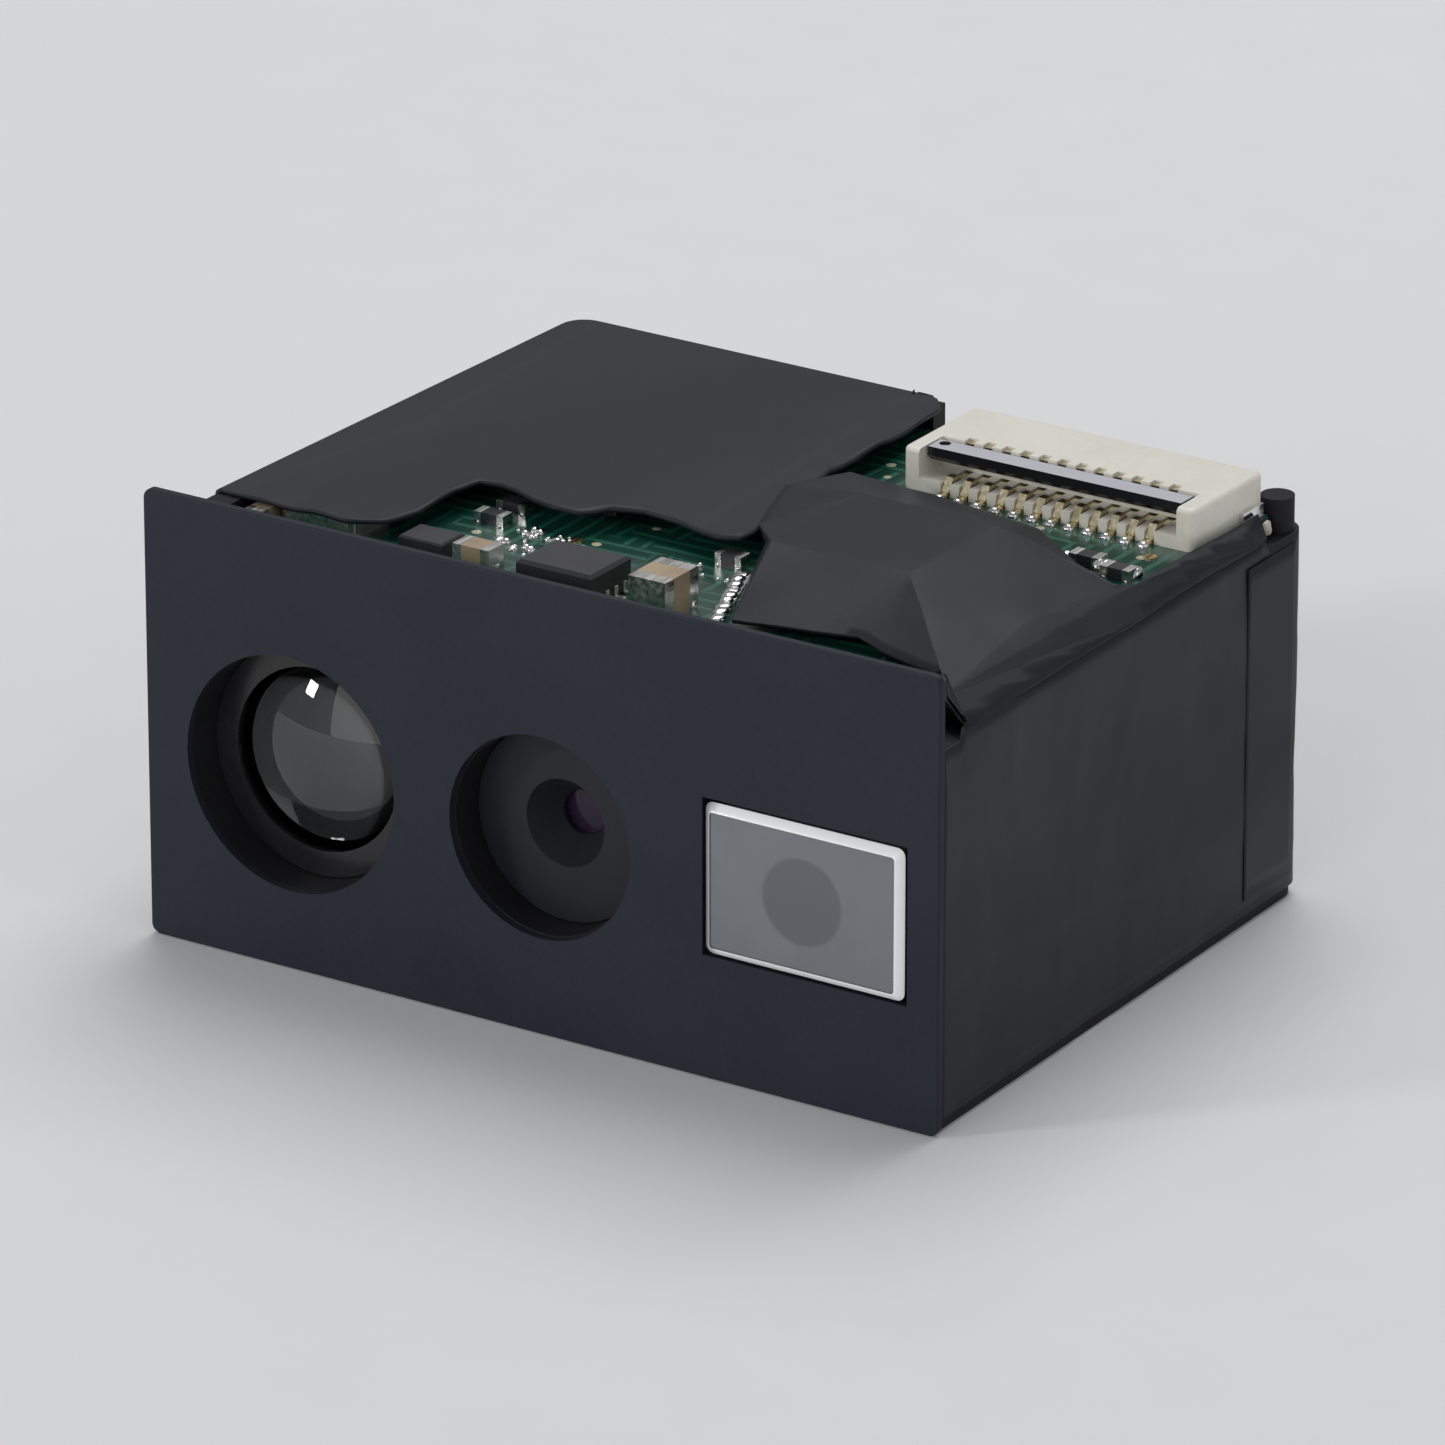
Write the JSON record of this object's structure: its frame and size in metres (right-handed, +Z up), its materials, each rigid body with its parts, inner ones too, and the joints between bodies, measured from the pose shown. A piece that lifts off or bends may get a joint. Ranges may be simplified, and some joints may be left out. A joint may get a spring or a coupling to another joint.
{
  "type": "optical scanner module",
  "caption": "Compact board-mounted optical scanner module with a domed lens, a camera barrel, a lit window, a top circuit board and a flat-cable connector.",
  "frame": {"origin": "centre of the bounding box's bottom face, on the underside", "axes": "+X to the right seen from the front, the optics look along -Y, +Z up towards the circuit board"},
  "size_m": [0.0216, 0.017, 0.011],
  "materials": {
    "face_sheet": "satin black",
    "chassis_black": "matte",
    "lens_clear": "polished",
    "window_clear": "polished",
    "filter_glass": "coated",
    "barrel_black": "satin black",
    "led_white": "white moulded",
    "phosphor": "translucent fill",
    "led_dome": "clear resin",
    "sensor_dark": "dark ceramic",
    "gasket_rubber": "matte",
    "board_green": "green solder mask",
    "pin_gold": "gold plated",
    "contact_gold": "plated",
    "screw_steel": "zinc plated",
    "package_black": "moulded",
    "can_metal": "nickel",
    "coil_ferrite": "ferrite",
    "ceramic_tan": "ceramic",
    "tin_caps": "tinned",
    "resistor_black": "glazed",
    "solder": "bright solder",
    "glue": "cured glue",
    "connector_ivory": "ivory",
    "header_black": "moulded",
    "lock_pale": "glossy",
    "top_tape_black": "black film tape",
    "side_tape_black": "black film tape"
  },
  "bodies": {
    "module": {"front_plate": "face_sheet", "chassis": "chassis_black", "condenser_lens": "lens_clear", "front_lens_element": "lens_clear", "rear_lens_element": "lens_clear", "sensor_cover_glass": "lens_clear", "window_block": "window_clear", "bandpass_filter": "filter_glass", "lens_barrel": "barrel_black", "lens_retaining_ring": "barrel_black", "lens_spacer_ring": "barrel_black", "illumination_led": "led_white", "aiming_led": "led_white", "led_phosphor": "phosphor", "aiming_led_dome": "led_dome", "image_sensor": "sensor_dark", "sensor_gasket": "gasket_rubber", "main_board": "board_green", "optics_board": "board_green", "illumination_board": "board_green", "link_pins": "pin_gold", "illumination_pins": "pin_gold", "test_pads": "pin_gold", "connector_contacts": "contact_gold", "optics_board_screws": "screw_steel", "processor_ic": "package_black", "memory_ic": "package_black", "driver_ic": "package_black", "regulator_ic": "package_black", "oscillator_can": "can_metal", "power_inductor": "coil_ferrite", "capacitor_bodies": "ceramic_tan", "capacitor_end_caps": "tin_caps", "resistor_end_caps": "tin_caps", "resistor_bodies": "resistor_black", "contact_solder_joints": "solder", "solder_strip": "solder", "connector_anchor_tabs": "solder", "adhesive_dabs": "glue", "connector_housing": "connector_ivory", "link_header": "header_black", "top_tape": "top_tape_black", "side_tape": "side_tape_black"},
    "lock": {"connector_lock": "lock_pale"}
  },
  "joints": [
    {"name": "lock_flip", "type": "hinge", "parent": "module", "child": "lock", "pos_m": [0.00566, 0.00506, 0.01044], "axis": [-1, 0, 0], "range_deg": [0, 90]}
  ]
}
